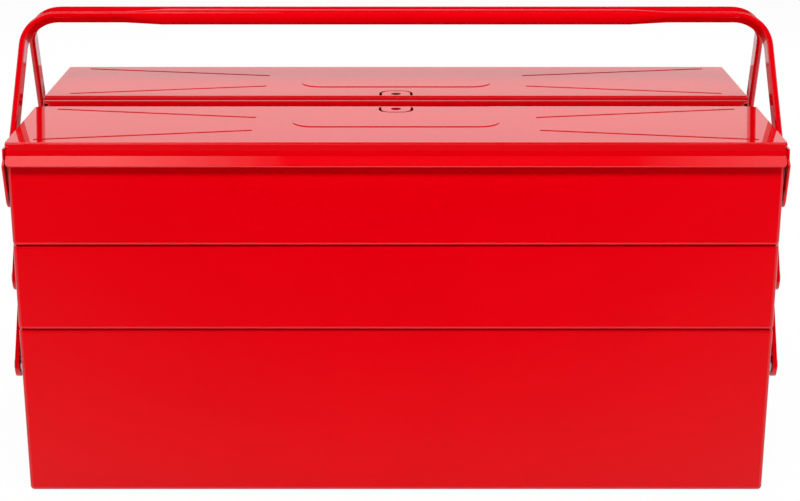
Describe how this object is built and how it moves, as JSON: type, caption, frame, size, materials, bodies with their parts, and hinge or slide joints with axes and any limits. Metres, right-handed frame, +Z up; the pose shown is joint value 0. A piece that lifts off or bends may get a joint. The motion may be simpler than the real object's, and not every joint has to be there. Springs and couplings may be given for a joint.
{
  "type": "cantilever tool box",
  "caption": "Folded sheet-steel tool box with hinged lids and trays that swing out on riveted arms, carried by two bail handles.",
  "frame": {"origin": "middle of the box's underside, on the surface that it stands on", "axes": "+X to the right along the length, -Y to the front, +Z up"},
  "size_m": [0.5624, 0.286, 0.3282],
  "materials": {
    "enamel": "gloss",
    "rivet_steel": "satin"
  },
  "bodies": {
    "bottom_box": {"bottom_box": "enamel", "bottom_box_rivets": "rivet_steel", "bottom_box_spacers": "rivet_steel"},
    "front_long_arms": {"front_long_arm_left": "enamel", "front_long_arm_right": "enamel"},
    "front_lower_short_arms": {"front_lower_short_arm_left": "enamel", "front_lower_short_arm_right": "enamel"},
    "front_upper_short_arms": {"front_upper_short_arm_left": "enamel", "front_upper_short_arm_right": "enamel"},
    "front_lower_tray": {"front_lower_tray": "enamel", "front_lower_tray_rivets": "rivet_steel", "front_lower_tray_spacers": "rivet_steel"},
    "front_upper_tray": {"front_upper_tray": "enamel", "front_upper_tray_rivets": "rivet_steel", "front_upper_tray_spacers": "rivet_steel", "front_lid_rivets": "rivet_steel", "front_lid_spacers": "rivet_steel", "front_handle_rivets": "rivet_steel", "front_handle_spacers": "rivet_steel"},
    "front_lid": {"front_lid": "enamel", "front_lid_hinge_plate_left": "enamel", "front_lid_hinge_plate_right": "enamel"},
    "front_handle": {"front_handle": "enamel"},
    "back_long_arms": {"back_long_arm_left": "enamel", "back_long_arm_right": "enamel"},
    "back_lower_short_arms": {"back_lower_short_arm_left": "enamel", "back_lower_short_arm_right": "enamel"},
    "back_upper_short_arms": {"back_upper_short_arm_left": "enamel", "back_upper_short_arm_right": "enamel"},
    "back_lower_tray": {"back_lower_tray": "enamel", "back_lower_tray_rivets": "rivet_steel", "back_lower_tray_spacers": "rivet_steel"},
    "back_upper_tray": {"back_upper_tray": "enamel", "back_upper_tray_rivets": "rivet_steel", "back_upper_tray_spacers": "rivet_steel", "back_lid_rivets": "rivet_steel", "back_lid_spacers": "rivet_steel", "back_handle_rivets": "rivet_steel", "back_handle_spacers": "rivet_steel"},
    "back_lid": {"back_lid": "enamel", "back_lid_hinge_plate_left": "enamel", "back_lid_hinge_plate_right": "enamel"},
    "back_handle": {"back_handle": "enamel"}
  },
  "joints": [
    {"name": "front_swing", "type": "hinge", "parent": "bottom_box", "child": "front_long_arms", "pos_m": [0, -0.1085, 0.09], "axis": [1, 0, 0], "range_deg": [0, 61.2]},
    {"name": "front_lower_short_arm_swing", "type": "hinge", "parent": "bottom_box", "child": "front_lower_short_arms", "pos_m": [0, -0.0828, 0.09], "axis": [1, 0, 0], "range_deg": [0, 61.2]},
    {"name": "front_lower_tray_level", "type": "hinge", "parent": "front_long_arms", "child": "front_lower_tray", "pos_m": [0, -0.0718, 0.152], "axis": [1, 0, 0], "range_deg": [-61.2, 0]},
    {"name": "front_upper_tray_level", "type": "hinge", "parent": "front_long_arms", "child": "front_upper_tray", "pos_m": [0, -0.0351, 0.214], "axis": [1, 0, 0], "range_deg": [-61.2, 0]},
    {"name": "front_upper_short_arm_swing", "type": "hinge", "parent": "front_lower_tray", "child": "front_upper_short_arms", "pos_m": [0, -0.0975, 0.152], "axis": [1, 0, 0], "range_deg": [0, 61.2]},
    {"name": "front_lid_hinge", "type": "hinge", "parent": "front_upper_tray", "child": "front_lid", "pos_m": [0, -0.116, 0.22], "axis": [1, 0, 0], "range_deg": [0, 105]},
    {"name": "front_handle_hinge", "type": "hinge", "parent": "front_upper_tray", "child": "front_handle", "pos_m": [0, -0.058, 0.233], "axis": [1, 0, 0], "range_deg": [0, 60]},
    {"name": "back_swing", "type": "hinge", "parent": "bottom_box", "child": "back_long_arms", "pos_m": [0, 0.1085, 0.09], "axis": [-1, 0, 0], "range_deg": [0, 61.2]},
    {"name": "back_lower_short_arm_swing", "type": "hinge", "parent": "bottom_box", "child": "back_lower_short_arms", "pos_m": [0, 0.0828, 0.09], "axis": [-1, 0, 0], "range_deg": [0, 61.2]},
    {"name": "back_lower_tray_level", "type": "hinge", "parent": "back_long_arms", "child": "back_lower_tray", "pos_m": [0, 0.0718, 0.152], "axis": [-1, 0, 0], "range_deg": [-61.2, 0]},
    {"name": "back_upper_tray_level", "type": "hinge", "parent": "back_long_arms", "child": "back_upper_tray", "pos_m": [0, 0.0351, 0.214], "axis": [-1, 0, 0], "range_deg": [-61.2, 0]},
    {"name": "back_upper_short_arm_swing", "type": "hinge", "parent": "back_lower_tray", "child": "back_upper_short_arms", "pos_m": [0, 0.0975, 0.152], "axis": [-1, 0, 0], "range_deg": [0, 61.2]},
    {"name": "back_lid_hinge", "type": "hinge", "parent": "back_upper_tray", "child": "back_lid", "pos_m": [0, 0.116, 0.22], "axis": [-1, 0, 0], "range_deg": [0, 105]},
    {"name": "back_handle_hinge", "type": "hinge", "parent": "back_upper_tray", "child": "back_handle", "pos_m": [0, 0.058, 0.233], "axis": [-1, 0, 0], "range_deg": [0, 60]}
  ],
  "couplings": [
    {"joint": "front_lower_short_arm_swing", "follows": "front_swing", "ratio": 1},
    {"joint": "front_lower_tray_level", "follows": "front_swing", "ratio": -1},
    {"joint": "front_upper_tray_level", "follows": "front_swing", "ratio": -1},
    {"joint": "front_upper_short_arm_swing", "follows": "front_swing", "ratio": 1},
    {"joint": "back_lower_short_arm_swing", "follows": "back_swing", "ratio": 1},
    {"joint": "back_lower_tray_level", "follows": "back_swing", "ratio": -1},
    {"joint": "back_upper_tray_level", "follows": "back_swing", "ratio": -1},
    {"joint": "back_upper_short_arm_swing", "follows": "back_swing", "ratio": 1}
  ]
}
